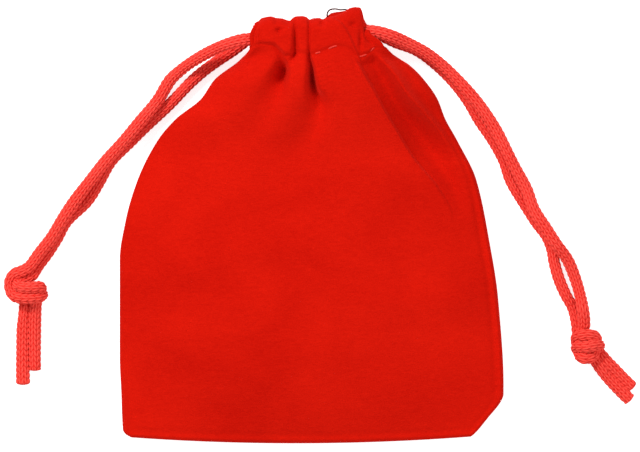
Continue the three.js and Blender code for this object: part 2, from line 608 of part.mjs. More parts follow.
for (const [name, cord] of [['left', LEFT], ['right', RIGHT]]) {
  const route = cordRoute(cord);
  addPiece(`${name}_cord`, cordTube(route, CORD_STEPS), KNIT);
  const tails = Object.entries(cord.knot.tails);
  const tailRoutes = tails.map(([, points]) => points.map((point) => byKnot(cord.knot, point)));
  const ends = [route, [...route].reverse(), ...tailRoutes.map((points) => [...points].reverse())];
  addPiece(`${name}_knot`, knotBody(cord.knot, ends), KNIT);
  tails.forEach(([tail], k) => addPiece(`${name}_tail_${tail}`, cordTube(tailRoutes[k], TAIL_STEPS), KNIT));
}

export default pouch;
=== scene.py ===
"""A red velvet drawstring pouch: two gathered panels with stitched hems, and two doubled knit cords."""
import math

import bpy
import numpy as np
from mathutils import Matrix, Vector


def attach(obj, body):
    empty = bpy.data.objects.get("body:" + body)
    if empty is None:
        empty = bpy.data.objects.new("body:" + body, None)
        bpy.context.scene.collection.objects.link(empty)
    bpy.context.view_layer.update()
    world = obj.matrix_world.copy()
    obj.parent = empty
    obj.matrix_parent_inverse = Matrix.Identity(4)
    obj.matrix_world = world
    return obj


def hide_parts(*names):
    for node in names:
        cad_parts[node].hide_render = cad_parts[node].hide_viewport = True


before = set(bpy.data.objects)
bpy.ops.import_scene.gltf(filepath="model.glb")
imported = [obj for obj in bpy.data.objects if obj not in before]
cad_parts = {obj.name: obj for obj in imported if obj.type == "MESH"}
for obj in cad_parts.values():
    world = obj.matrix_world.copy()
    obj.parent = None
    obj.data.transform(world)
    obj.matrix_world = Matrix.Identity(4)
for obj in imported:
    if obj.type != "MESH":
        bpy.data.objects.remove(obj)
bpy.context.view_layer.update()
MM = 0.001

# Driving sizes, in millimetres. Most are the part's; the fill and the finer folds of the hems are set here
POUCH_HEIGHT = 111.5
CLOTH = 1.0
SEAM_LIFT = 3.2
NECK_SEAM_LIFT = 9.0
BODY_CROWN = 12.6
NECK_CROWN = 18.4
NECK_START = 72
NECK_FULL = 96
STITCH_HEIGHT = 100.8
BOTTOM_BOW = 1.8
BOTTOM_BOW_MIDDLE = -4
BOTTOM_BOW_REACH = 46
FILL_REACH = 43
CORD = 2.8
CORD_FIT = 0.3
HEM_PLY = 0.9
CHANNEL_DEEP = CORD + 2 * CORD_FIT
LOWER_CORD_HEIGHT = 103.25
UPPER_CORD_HEIGHT = LOWER_CORD_HEIGHT + CORD + CORD_FIT
BACK_CORD_Z = 4.2
FRONT_CORD_Z = 13.8
HEM_CORD_Z = 12.7
HEM_UNDER = 0.45
GATHER_DEPTH = 2.4
BACK_GATHER_DEPTH = BACK_CORD_Z - CHANNEL_DEEP / 2 - HEM_PLY
BACK_NECK_DEPTH = 3.4
HEM_PINCH = 0.6
HEM_SPAN = 8
HEM_BLEND_START = 97.5
CHANNEL_END = 16.6
RIGHT_EXIT_HEIGHT = 105.2
LEFT_TURN_REACH = 15.5
RIGHT_TURN_REACH = 13.4

# Photograph: its size and scale, and the pixel that lies over the frame's origin
PHOTO_SIZE = (640, 452)
PIXELS_PER_MM = 3.9
PHOTO_ORIGIN = (311.5, 225.6)


def through(knots):
    """A smooth run through (place, value) pairs that never overshoots them."""
    at, value = np.array(knots, float).T
    span = np.diff(at)
    rise = np.diff(value) / span
    both = rise[:-1] * rise[1:]
    total = rise[:-1] + rise[1:]
    middle = np.where(both > 0, 2 * both / np.where(both > 0, total, 1), 0)
    slope = np.concatenate([rise[:1], middle, rise[-1:]])

    def run(place):
        place = np.clip(np.asarray(place, float), at[0], at[-1])
        i = np.clip(np.searchsorted(at, place, side="right") - 1, 0, len(span) - 1)
        t = (place - at[i]) / span[i]
        ease = t * t * (3 - 2 * t)
        bend = span[i] * t * (1 - t)
        bent = bend * ((1 - t) * slope[i] - t * slope[i + 1])
        return value[i] + (value[i + 1] - value[i]) * ease + bent

    return run


# Silhouette: the height up the pouch, then where the edge is across it
LEFT_EDGE = through([(0, -46.2), (0.7, -47.5), (2, -48.3), (12, -48.7), (22, -49.1), (47, -49.1),
                     (57, -47.6), (67.5, -44.5), (77.5, -39.4), (83, -34.7), (88, -28.3), (93, -24.7),
                     (98, -18.2), (101, -15.7), (104, -15.6), (106, -15.1), (107.4, -14.2), (108.3, -13.3),
                     (109, -12.4)])
RIGHT_EDGE = through([(0, 40.8), (0.6, 41.6), (5, 45.2), (10, 48.8), (11.4, 49.2), (14, 49.2), (37, 47.8),
                      (52, 45.5), (67.5, 42.2), (77.5, 37.3), (83, 34.2), (88, 32.2), (93, 28.6),
                      (96.5, 25), (98, 22.6), (99.3, 20.6), (101, 18.9), (102.2, 18), (103.2, 16.9),
                      (104.2, 15.6), (105.2, 14.9), (106.6, 14.4), (110, 14.2)])

# Front folds: two hollows that run down from the neck, and a tuck on the right that falls off sharply
LEFT_HOLLOW = {
    "line": through([(0, -24), (62, -20.5), (78, -16), (82.8, -12.6), (89.2, -8.9), (93.1, -7.7),
                     (95.9, -6.9), (98.2, -6.7), (100.3, -7.6), (102, -8.6)]),
    "depth": through([(66, 0), (76, 0.4), (84, 1.2), (89, 2.5), (92, 4.2), (94.5, 6.2), (96.5, 6),
                      (98, 3.8), (99.4, 1.6), (101, 0.4), (102, 0)]),
    "width": through([(68, 8), (84, 5), (89, 3.4), (93, 2.2), (95.9, 1.7), (98, 1.3), (100.5, 1.4)]),
    "lean": (1.25, 0.6),
}
MIDDLE_HOLLOW = {
    "line": through([(0, -8.5), (62, -5.2), (75.9, -2.2), (81.5, 1.1), (86.9, 2), (89.2, 1.5), (91.2, 0.7),
                     (93.1, 0.4), (97.7, 0), (100.8, -0.5), (110, -0.5)]),
    "depth": through([(64, 0), (74, 0.9), (80, 1.8), (85, 3.1), (87.5, 3.9), (89.5, 4.7), (91, 5.5),
                      (93, 6.6), (95, 5.8), (97.5, 3.6), (101, 1.4), (104, 0.7), (110, 0.8)]),
    "width": through([(64, 8), (76, 5.5), (82, 4.2), (86, 3.2), (89, 2.2), (91, 1.5), (94, 1.05),
                      (98, 0.75), (101, 0.5), (110, 0.45)]),
    "lean": (1.1, 0.7),
}
# A third groove, in the hem only, that ends in a small pocket just under the seam line
HEM_HOLLOW = {
    "line": through([(96, -6), (99, -5), (101.5, -4.2), (110, -4.2)]),
    "depth": through([(98, 0), (99.5, 1), (101.5, 2.2), (104, 1.7), (110, 1.2)]),
    "width": through([(97, 1.2), (100, 0.9), (102, 0.75), (105, 0.5), (110, 0.5)]),
    "lean": (1, 1),
}
TUCK = {
    "line": through([(0, 28), (40, 33), (58, 36), (65, 32.7), (72.6, 26.5), (80.3, 21.7), (86, 18.3),
                     (92.3, 15.1), (98, 12.6), (101, 11.1), (103.8, 9.9), (105.9, 8.8), (107.4, 7.6),
                     (108.6, 6)]),
    "ridge": through([(0, 36), (40, 42.5), (58, 41.5), (64.4, 41), (70.8, 38.8), (76.4, 35.5), (82.8, 30.4),
                      (89.2, 24.7), (94, 21.5), (99, 17.2), (103, 13.8), (110, 13.2)]),
    "depth": through([(56, 0), (62, 0.9), (68, 2.5), (76, 4.2), (84, 4.7), (92, 4.2), (98, 2.7), (101, 1.4),
                      (110, 1.5)]),
    "step": 0.42,
}
TUCK_LIP = through([(60, 0), (68, 0.3), (80, 0.42), (96, 0.42), (103, 0.2), (109, 0)])
RIDGE_LIFT = through([(56, 0), (66, 0.9), (78, 1.5), (92, 1.3), (98, 0.7), (101, 0)])
BACK_GATHERS = [{"neck": -8, "body": -28}, {"neck": 0.5, "body": 2}, {"neck": 8, "body": 27}]
BACK_GATHER_START = 70
SOFT_BANDS = [
    {"from": (-37.5, 44), "to": (9, 54), "reach": 5, "lift": 0.5},
    {"from": (10, 36), "to": (43, 37), "reach": 4, "lift": 0.55},
]
STITCH_LINE = through([(-15.8, 101), (-12.7, 101.9), (-9.6, 101.4), (-7.8, 99.9), (-6.6, 98.8),
                       (-5.2, 98.9), (-3.7, 99.5), (-0.6, 99.2), (0.8, 99.4), (4.2, 100.6), (6.6, 101.4),
                       (9, 100.9), (12.2, 98.7), (14.3, 99.4), (16, 100.9), (18.4, 101.2)])
FRONT_TOP = through([(-15.6, 108.2), (-12.7, 108.7), (-10.4, 109.1), (-8.8, 108.7), (-7.6, 108.6),
                     (-5.5, 108), (-4.9, 108.6), (-4, 109.1), (-2.4, 109.2), (-1.2, 108.9), (-0.5, 108.3),
                     (0.4, 108.6), (2, 108.7), (2.8, 108.4), (4, 108.9), (6, 109.3), (8, 110.2),
                     (9.7, 111.1), (11, 111.4), (12.3, 111.3), (12.9, 110.4), (13.4, 108.4), (14.4, 106.8),
                     (15.7, 106.1)])
BACK_TOP = through([(-15.6, 107.6), (-5, 108.2), (2.6, 108.4), (4.4, 109.7), (5.2, 110.2), (8.8, 110.8),
                    (9.7, 111.4), (11, 111.7), (12.4, 111.6), (13, 110.6), (13.5, 108.3), (14.5, 106.6),
                    (15.7, 106)])

# Routes of the cords' free ends, from the neck to the knot: across, height up the pouch, and Z
LEFT_FRONT_RUN = [(-20.4, 102.4, 12.6), (-24.7, 100.8, 9.6), (-29.6, 98.2, 6.2), (-33.4, 95.6, 3.4),
                  (-36.2, 93, 2.4), (-39.3, 87.9, 3.6), (-43.5, 82.8, 4.4), (-47.8, 77.7, 4.7),
                  (-52.4, 72.6, 4.7), (-56.5, 67.4, 4.4), (-60.4, 62.3, 4.3), (-63.8, 57.2, 4.7),
                  (-66.6, 52.6, 4.6), (-69.8, 48.5, 4.4)]
LEFT_BACK_RUN = [(-19.9, 100.8, 3.4), (-23.7, 98.2, 2.2), (-27.6, 95.4, 1.5), (-30.8, 92.6, 1.5),
                 (-35.8, 87.4, 1.5), (-41, 82.6, 1.5), (-46, 77.7, 1.5), (-51.2, 72.4, 1.5),
                 (-54.2, 67.2, 1.5), (-57.5, 62, 1.5), (-63, 56.6, 1.5), (-65.3, 52.4, 1.5),
                 (-67.5, 48.8, 1.5)]
RIGHT_FRONT_RUN = [(20.1, 104.2, 12.6), (24, 102.6, 10.4), (28.6, 100.3, 8), (32.4, 97.6, 6), (35.4, 95, 5),
                   (39.9, 90.2, 4.7), (43.8, 85.4, 4.3), (47.1, 80.3, 4), (49.8, 75.1, 4.4),
                   (52.4, 70, 4.2), (55.1, 64.9, 3.8), (57, 59.7, 4.6), (60.2, 54.6, 4.8), (62.6, 51, 4.8),
                   (65.6, 46.9, 3), (67.7, 41.8, 2), (68.8, 37.9, 2.6), (69.4, 34.6, 4.7)]
RIGHT_BACK_RUN = [(21.4, 102.8, 3.8), (26.6, 100.8, 2.4), (30.8, 98, 1.6), (36, 93, 1.5), (40.1, 87.9, 1.5),
                  (43, 82.8, 1.5), (46.5, 77.7, 1.5), (49.2, 72.6, 1.5), (51, 67.4, 1.5), (54, 62.3, 1.5),
                  (57.4, 57, 1.5), (60.4, 53, 1.5), (61.7, 49.5, 1.5), (62.2, 46.4, 1.5), (63.5, 41.8, 1.5),
                  (65.2, 37.9, 1.5), (67, 34.6, 1.5)]

# Each strand's way through its knot and down its tail: across, height up the pouch, and Z
LEFT_KNOT_FRONT = [(-72.3, 45.2, 5), (-74.2, 44.1, 5.4), (-76, 43.3, 5.1), (-77, 41.7, 4.4),
                   (-77, 39.6, 4.3), (-76.1, 37.9, 5), (-74.2, 37.3, 6), (-71.8, 37.3, 6.1),
                   (-69.9, 37.5, 5.1), (-69, 38.1, 3.3), (-70.1, 38.7, 1.6), (-72.2, 38.6, 1.45),
                   (-73.3, 37.2, 1.9), (-73.5, 34.6, 2.3), (-73.85, 30.3, 1.8), (-74, 25.1, 1.45),
                   (-74, 20, 1.45), (-73.9, 14.9, 1.45)]
LEFT_KNOT_BACK = [(-70.1, 45.3, 2), (-71.5, 43.1, 3.3), (-73.1, 41.9, 3.9), (-74.7, 41.2, 4.7),
                  (-75.2, 40.6, 5.7), (-74, 40, 6.6), (-71.8, 39.9, 6.7), (-70.1, 40, 6.1),
                  (-69.3, 39.9, 5), (-69.6, 39.1, 4), (-70.2, 38, 3.7), (-70.5, 36.4, 3.6),
                  (-70.8, 34, 2.9), (-71, 29, 1.8), (-71, 24, 1.45), (-70.9, 18.5, 1.45)]
RIGHT_KNOT_FRONT = [(69.8, 30.6, 3.6), (69.4, 28, 3.2), (68.9, 25.4, 3), (68.6, 23.1, 3.8),
                    (69.3, 22.05, 5.4), (70.9, 21.95, 5.3), (72.2, 22.8, 4.2), (72.6, 25.2, 3.9),
                    (72.8, 27.1, 4.6), (71, 27.8, 6), (69.1, 27.6, 5.7), (67.9, 27, 4), (68.4, 25.2, 1.8),
                    (70.2, 24.5, 1.45), (72, 24.2, 1.5), (73.8, 23, 2.1), (75.5, 21, 2.5),
                    (77.65, 18.85, 1.9), (79.9, 16.6, 1.45), (82.5, 14.1, 1.45)]
RIGHT_KNOT_BACK = [(68, 30.6, 1.9), (68.3, 28, 1.9), (68.8, 25.4, 2), (69.8, 23.6, 3.1), (71.3, 23.3, 3.6),
                   (72.8, 24.2, 3), (73.6, 25, 4), (72.6, 25.2, 5.8), (70.6, 24.85, 6.6),
                   (68.8, 24.75, 5.8), (67.8, 24.6, 3.8), (68.8, 23.2, 2), (70.6, 22.6, 2.1),
                   (72.3, 21.7, 2.7), (73.9, 19.4, 2.8), (76.15, 16.55, 1.9), (78.9, 13.7, 1.45),
                   (81.8, 10.9, 1.45)]


def smooth(start, end, value):
    t = np.clip((value - start) / (end - start), 0, 1)
    return t * t * (3 - 2 * t)


def window(value, start, full, ease, end):
    """1 between full and ease, 0 before start and after end, and smooth in between."""
    return smooth(start, full, value) * (1 - smooth(ease, end, value))


def bell(distance, width):
    return np.exp(-((distance / width) ** 2))


def crowded(count):
    """Stations from 0 to 1, crowded towards both ends."""
    t = np.arange(count + 1) / count
    return t - EDGE_CROWDING * np.sin(2 * math.pi * t) / (2 * math.pi)


def in_frame(points):
    """Points of the pouch (across, height up it, Z, in millimetres) in the row frame, in metres."""
    return (np.array(points, float) - (0, POUCH_HEIGHT / 2, 0)) * MM


# Cloth

# Small dents of the front hem: across, height, reach each way, and depth
HEM_DIMPLES = [(-8.3, 105.5, 0.8, 0.7, 1.3), (-9, 107.6, 0.9, 1.4, 0.5), (2.6, 107.2, 0.8, 0.7, 0.9),
               (10.6, 107, 0.9, 0.6, 0.9), (12.5, 102.8, 0.5, 2.3, 1), (-14, 104, 0.25, 2.6, 0.45),
               (-13.2, 104.5, 0.25, 2.8, 0.4), (-12.6, 104, 0.25, 2.4, 0.3), (15.4, 102.4, 0.35, 1.2, 0.4)]
TUCK_HEM_DEPTH = 0.9
DEEPEST_HEM_GROOVE = 3.6
# The tuck's fall: its share right at the lip, and how far along the way to the ridge it is full and eases off
TUCK_FALL = {"at_lip": 0.58, "full": 0.4, "eases": 0.42}
# The tuck's lip, inside its line, and the ridge beyond it with its dip
LIP = {"inside": 0.75, "width": 0.5}
RIDGE = {"width": 1.15, "dip": 0.7, "dip_away": 2.9, "dip_width": 1.8}
CREASES = {"across": (0.6, 2.5, 10, 14), "up": (88, 92, 97, 99), "pitch": (1.35, 0.83), "depth": 0.07}
SAG_BROAD, SAG_FINE = 0.22, 0.12
BAND_ENDS = (-0.3, 0.2, 0.8, 1.3)
SEAM_BEAD = {"height": 0.35, "inside": 0.9, "width": 0.55, "groove": 2.2, "groove_width": 0.8, "pucker": 0.3}
# The bead has its full height on the right, above the corner, and this least share of it elsewhere
BEAD_STRONG = {"least": 0.35, "across": (30, 40), "up": (6, 16)}
BEAD_FADE_END = 92
# How high the back's side stands where its seam bead starts and is full
BACK_BEAD_STARTS = (0.9, 2.4)
PINCH_WIDTH = 0.08
# Where the front hem is pinched more: how much, and the places across where that starts and is full
MORE_PINCH = ((1.4, -4, -7), (0.8, 8, 12))
# The front's cross-section low down and at the neck, and the heights where one becomes the other
LOW_DOME_POWER = 2.5
NECK_DOME_POWERS = (3, 0.85)
NECK_DOME_HEIGHTS = (66, 84)
FILL_POWER = 2
LOOSE_EDGE = 3
FRONT_HEM_SINK = 0.5
HEM_SIDE_POWER = 6
HEM_ROUND_START = 0.6
HEM_ROUND_POWER = 2.5
# The back: where its gathers fan out from and deepen, and its rolled sides and bottom
BACK_FAN_START = 50
BACK_GATHER_WIDTHS = (7, 1.2)
BACK_GATHER_DEEPENS = 98
ROLL = {"side_start": 0.7, "tall": 14, "power": 1.6}
BOW_POWER = 6
STITCH_PULL_POWER = 8
EDGE_CROWDING = 0.72
BOTTOM_EDGE_SLACK = 0.05


def seam_lift(height):
    return SEAM_LIFT + (NECK_SEAM_LIFT - SEAM_LIFT) * smooth(NECK_START, NECK_FULL, height)


def across_share(x, height):
    left, right = LEFT_EDGE(height), RIGHT_EDGE(height)
    return np.clip(2 * (x - left) / (right - left) - 1, -1, 1)


def hollow_depth(hollow, x, height):
    away = x - hollow["line"](height)
    return hollow["depth"](height) * bell(away, hollow["width"](height) * np.where(away < 0, *hollow["lean"]))


def hollows(x, height):
    return sum(hollow_depth(hollow, x, height) for hollow in (LEFT_HOLLOW, MIDDLE_HOLLOW, HEM_HOLLOW))


def tuck_depth(x, height):
    away = x - TUCK["line"](height)
    span = TUCK["ridge"](height) - TUCK["line"](height)
    at_lip = TUCK_FALL["at_lip"]
    share = at_lip + (1 - at_lip) * smooth(0, TUCK_FALL["full"] * span, away)
    share = share * (1 - smooth(TUCK_FALL["eases"] * span, span, away))
    fall = TUCK["depth"](height) * smooth(-TUCK["step"], TUCK["step"], away) * share
    return fall - TUCK_LIP(height) * bell(away + LIP["inside"], LIP["width"])


def ridge_lift(x, height):
    """The soft second ridge, right of the tuck, and the shallow dip beyond it."""
    away = x - TUCK["ridge"](height)
    dip = RIDGE["dip"] * bell(away - RIDGE["dip_away"], RIDGE["dip_width"])
    return RIDGE_LIFT(height) * (bell(away, RIDGE["width"]) - dip)


def soft_band(x, height):
    lift = 0
    for band in SOFT_BANDS:
        (x0, h0), (x1, h1) = band["from"], band["to"]
        t = np.clip((x - x0) / (x1 - x0), BAND_ENDS[0], BAND_ENDS[-1])
        ends = window(t, *BAND_ENDS)
        lift = lift + band["lift"] * ends * bell(height - h0 - (h1 - h0) * t, band["reach"])
    return lift


def crinkles(x, height):
    """Fine creases across the broad fold, just under the hem."""
    mask = window(x, *CREASES["across"]) * window(height, *CREASES["up"])
    coarse, fine = CREASES["pitch"]
    wave = height + 0.35 * np.sin(0.9 * x + 0.4) + 0.18 * np.sin(2.3 * x)
    ripple = np.sin(2 * math.pi * wave / coarse) + 0.5 * np.sin(2 * math.pi * wave / fine + x)
    return CREASES["depth"] * mask * ripple


def sag(x, height):
    """Slight unevenness of limp cloth."""
    return (SAG_BROAD * np.sin(x / 8.3 + height / 13 + 0.6) * np.sin(height / 9.1 - x / 21)
            + SAG_FINE * np.sin(x / 4.1 - height / 6.3 + 1.9) * np.sin(height / 5.3 + x / 9))


def seam_bead(x, height):
    """The rolled seam along the sides and the bottom, and the shallow groove inside it."""
    into = np.minimum(np.minimum(x - LEFT_EDGE(height), RIGHT_EDGE(height) - x), height)
    pucker = 1 + SEAM_BEAD["pucker"] * np.sin(2.6 * height + np.sin(0.7 * height)) * np.sin(1.9 * x)
    right_side = smooth(*BEAD_STRONG["across"], x) * smooth(*BEAD_STRONG["up"], height)
    strong = BEAD_STRONG["least"] + (1 - BEAD_STRONG["least"]) * right_side
    bead = bell(into - SEAM_BEAD["inside"], SEAM_BEAD["width"])
    groove = bell(into - SEAM_BEAD["groove"], SEAM_BEAD["groove_width"])
    return SEAM_BEAD["height"] * (bead - groove) * pucker * strong


def hem_round(up):
    """How full a hem is, from its stitch line, 0, to its fold, 1: it rounds off near the fold."""
    near = np.maximum(0, (up - HEM_ROUND_START) / (1 - HEM_ROUND_START))
    return np.sqrt(np.clip(1 - near ** HEM_ROUND_POWER, 0, 1))


def front_body(x, height):
    edge = seam_lift(height) + CLOTH
    filled = 1 - (1 - np.minimum(height / FILL_REACH, 1)) ** FILL_POWER
    crown = BODY_CROWN + (NECK_CROWN - BODY_CROWN) * smooth(NECK_START, NECK_FULL, height)
    share = np.abs(across_share(x, height))
    low_dome = 1 - share ** LOW_DOME_POWER
    neck_dome = (1 - share ** NECK_DOME_POWERS[0]) ** NECK_DOME_POWERS[1]
    dome = low_dome + (neck_dome - low_dome) * smooth(*NECK_DOME_HEIGHTS, height)
    folds = hollows(x, height) + tuck_depth(x, height) - ridge_lift(x, height)
    loose = soft_band(x, height) + crinkles(x, height) + sag(x, height) - folds
    return edge + (crown - edge) * filled * dome + loose * np.minimum(1, LOOSE_EDGE * dome * filled)


def hem_pinch(x):
    """How far the stitch line draws the front hem in."""
    return HEM_PINCH * (1 + sum(more * smooth(start, full, x) for more, start, full in MORE_PINCH))


def front_hem(x, height, up, real):
    flat = FRONT_CORD_Z + CHANNEL_DEEP / 2 + HEM_PLY - FRONT_HEM_SINK
    ends = 1 - np.abs(across_share(x, height)) ** HEM_SIDE_POWER
    tuck = TUCK_HEM_DEPTH * smooth(-TUCK["step"], TUCK["step"], x - TUCK["line"](real))
    full = flat + GATHER_DEPTH * ends - np.minimum(hollows(x, height) + tuck, DEEPEST_HEM_GROOVE)
    for px, ph, reach_x, reach_h, deep in HEM_DIMPLES:
        full = full - deep * bell(np.hypot((x - px) / reach_x, (real - ph) / reach_h), 1)
    pinch = hem_pinch(x) * bell(up, PINCH_WIDTH) * ends
    return FRONT_CORD_Z + (full - FRONT_CORD_Z) * hem_round(up) - pinch


def back_line(gather, height):
    return gather["body"] + (gather["neck"] - gather["body"]) * smooth(BACK_FAN_START, NECK_FULL, height)


def back_body(x, height):
    edge = seam_lift(height) - CLOTH
    side = np.maximum(0, (np.abs(across_share(x, height)) - ROLL["side_start"]) / (1 - ROLL["side_start"]))
    bottom = np.maximum(0, (ROLL["tall"] - height) / ROLL["tall"])
    side, bottom = side ** ROLL["power"], bottom ** ROLL["power"]
    return edge * np.minimum(1, np.hypot(side, bottom))


def back_gather(x, height):
    drawn = smooth(BACK_GATHER_START, NECK_FULL, height)
    deepened = smooth(BACK_GATHER_DEEPENS, STITCH_HEIGHT, height)
    depth = BACK_NECK_DEPTH + (BACK_GATHER_DEPTH - BACK_NECK_DEPTH) * deepened
    soft, tight = BACK_GATHER_WIDTHS
    width = soft + (tight - soft) * drawn
    return depth * drawn * sum(bell(x - back_line(gather, height), width) for gather in BACK_GATHERS)


def back_hem(x, height, up):
    ends = np.abs(across_share(x, height)) ** HEM_SIDE_POWER * BACK_GATHER_DEPTH
    full = np.minimum(BACK_GATHER_DEPTH, np.maximum(back_gather(x, height), ends))
    full = full + HEM_PINCH * bell(up, PINCH_WIDTH)
    return BACK_CORD_Z - (BACK_CORD_Z - full) * hem_round(up)


def edge_round(x, height, reach):
    """0 at the pouch's outline and 1 a little way in, as the round of a folded edge."""
    into = np.minimum(x - LEFT_EDGE(height), RIGHT_EDGE(height) - x)
    t = np.clip(np.minimum(into, height + BOTTOM_EDGE_SLACK) / reach, 0, 1)
    return np.sqrt(t * (2 - t))


def panel_grid(lines, columns, top_edge):
    """A panel's rows and columns: nominal height, share up the hem, place across and real height."""
    body = crowded(BODY_ROWS) * STITCH_HEIGHT
    up = np.sin(math.pi / 2 * (np.arange(HEM_ROWS) + 1) / HEM_ROWS)
    height = np.concatenate([body, STITCH_HEIGHT + HEM_SPAN * up])[:, None]
    ups = np.concatenate([np.zeros(len(body)), up])[:, None]
    across = []
    for k, count in enumerate(columns):
        stations = crowded(count)[0 if k == 0 else 1:]
        across.append(lines[k](height) + (lines[k + 1](height) - lines[k](height)) * stations)
    x = np.concatenate(across, axis=1)
    share = np.minimum(height / STITCH_HEIGHT, 1)
    bow = BOTTOM_BOW * ((x - BOTTOM_BOW_MIDDLE) / BOTTOM_BOW_REACH) ** 2 * (1 - share) ** BOW_POWER
    low = height + bow + (STITCH_LINE(x) - STITCH_HEIGHT) * share ** STITCH_PULL_POWER
    high = STITCH_LINE(x) + (top_edge(x) - STITCH_LINE(x)) * ups
    in_hem = height >= STITCH_HEIGHT
    return np.broadcast_to(height, x.shape), np.broadcast_to(ups, x.shape), x, np.where(in_hem, high, low)


def mesh_object(name, points, quads, material):
    mesh = bpy.data.meshes.new(name)
    mesh.vertices.add(len(points))
    mesh.vertices.foreach_set("co", np.asarray(points, np.float32).ravel())
    quads = np.asarray(quads, np.int32)
    mesh.loops.add(quads.size)
    mesh.polygons.add(len(quads))
    mesh.loops.foreach_set("vertex_index", quads.ravel())
    mesh.polygons.foreach_set("loop_start", np.arange(0, quads.size, quads.shape[1], dtype=np.int32))
    mesh.polygons.foreach_set("use_smooth", np.ones(len(quads), bool))
    mesh.update(calc_edges=True)
    mesh.validate()
    obj = bpy.data.objects.new(name, mesh)
    bpy.context.scene.collection.objects.link(obj)
    obj.data.materials.append(material)
    return obj


def between_skins(upper, lower):
    """Points and quads of a closed mesh between two skins that share their rows and columns."""
    rows, columns = upper.shape[:2]
    index = np.arange(rows * columns).reshape(rows, columns)
    other = index + rows * columns

    def band(a, b):
        return np.stack([a[:-1], a[1:], b[1:], b[:-1]], axis=-1).reshape(-1, 4)

    def sheet(i):
        return np.stack([i[:-1, :-1], i[:-1, 1:], i[1:, 1:], i[1:, :-1]], axis=-1).reshape(-1, 4)

    quads = [sheet(index), sheet(other)[:, ::-1], band(other[0], index[0]), band(index[-1], other[-1]),
             band(index[:, 0], other[:, 0]), band(other[:, -1], index[:, -1])]
    points = np.concatenate([upper.reshape(-1, 3), lower.reshape(-1, 3)])
    return points, np.concatenate(quads)


def joined(parts):
    """Several sets of points and quads as one."""
    starts = np.cumsum([0] + [len(points) for points, _ in parts[:-1]])
    return np.concatenate([points for points, _ in parts]), np.concatenate(
        [quads + start for (_, quads), start in zip(parts, starts)])


# Section of the open end of a hem channel, going round: how far out past the hem's edge, and off its oval
MOUTH_SECTION = through([(0, -3.4), (1, -2), (2, -0.9), (3, -0.2), (4, 0.05), (5, -0.15), (6, -0.9),
                         (7, -2.2), (8, -3.4)])
MOUTH_WALL = through([(0, -0.6), (1, -0.1), (2, 0.02), (3, 0), (4, -0.35), (5, -0.72), (6, -0.8),
                      (7, -0.85), (8, -0.9)])
MOUTH_SECTION_END = 8
MOUTH_STEPS = 17
MOUTH_AROUND = 56
MOUTH_SQUARENESS = 0.85
MOUTH_INSET = 1
MOUTH_INSET_HEIGHTS = (0, 1.2, 6, 7.6)
# Height, Z, and reach up and over of each mouth's oval
MOUTHS = {
    "front": {-1: (104.4, FRONT_CORD_Z - 0.2, 3.5, 2.3), 1: (103.3, FRONT_CORD_Z - 0.2, 2.6, 2.3)},
    "back": {-1: (103.9, BACK_CORD_Z + 0.1, 3.1, 2.45), 1: (103.5, BACK_CORD_Z + 0.1, 2.9, 2.45)},
}


def hem_mouth(side, edge, height, z, tall, deep):
    """The open end of a hem channel, a soft oval ring round the cord that leaves it."""
    around = np.linspace(0, 2 * math.pi, MOUTH_AROUND, endpoint=False)[None, :]
    place = np.linspace(0, MOUTH_SECTION_END, MOUTH_STEPS)[:, None]
    wavy = 1 + 0.05 * np.sin(3 * around + side) + 0.03 * np.sin(5 * around + 2 * z)
    rise, swing = (np.sign(turn) * np.abs(turn) ** MOUTH_SQUARENESS
                   for turn in (np.cos(around), np.sin(around)))
    up = height + (tall + MOUTH_WALL(place)) * rise * wavy
    over = z + (deep + MOUTH_WALL(place)) * swing * wavy
    x = edge(up) + side * (MOUTH_SECTION(place) + 0.12 * np.sin(4 * around + z))
    index = np.arange(x.size).reshape(x.shape)
    nxt, after = np.roll(index, -1, axis=1), np.roll(index, -1, axis=0)
    quads = np.stack([index, nxt, np.roll(nxt, -1, axis=0), after], axis=-1).reshape(-1, 4)
    if side < 0:
        quads = quads[:, ::-1]
    return np.stack([x, up, over], axis=-1).reshape(-1, 3), quads


def mouths(panel):
    return [hem_mouth(side, edge, *MOUTHS[panel][side]) for side, edge in ((-1, LEFT_EDGE), (1, RIGHT_EDGE))]


def inset_edge(edge, side):
    """A panel's side, drawn in behind the open ends of its hem."""
    return lambda height: edge(height) - side * MOUTH_INSET * window(
        height - STITCH_HEIGHT, *MOUTH_INSET_HEIGHTS)


LINING_REACH = 3


def lining(z, pick, wall):
    """The other side of a cloth: a wall away from the lowest or highest of each point and its neighbours."""
    near = z
    for shift in range(1, LINING_REACH + 1):
        near = pick(near, pick(np.roll(z, shift, axis=1), np.roll(z, -shift, axis=1)))
    near[:, :LINING_REACH] = z[:, :LINING_REACH]
    near[:, -LINING_REACH:] = z[:, -LINING_REACH:]
    return near + wall


FRONT_COLUMNS = [46, 34, 46, 42, 34]
BACK_COLUMNS = [44, 36, 36, 44]
BODY_ROWS = 190
HEM_ROWS = 42
BODY_EDGE_REACH, HEM_EDGE_REACH = 0.9, 2.2


def sewn_panel(panel, grid, to_hem, cord_z, top, bottom, material):
    """A panel between its top and bottom skins, which meet along the seam, with the open ends of its hem."""
    height, _, x, tall = grid
    seam = seam_lift(height) + (cord_z - seam_lift(height)) * to_hem
    soft = edge_round(x, height, BODY_EDGE_REACH + (HEM_EDGE_REACH - BODY_EDGE_REACH) * to_hem)
    skins = [np.stack([x, tall, seam + (skin - seam) * soft], axis=-1) for skin in (top, bottom)]
    points, quads = joined([between_skins(*skins), *mouths(panel)])
    return mesh_object(f"{panel}_panel_velvet", in_frame(points), quads, material)


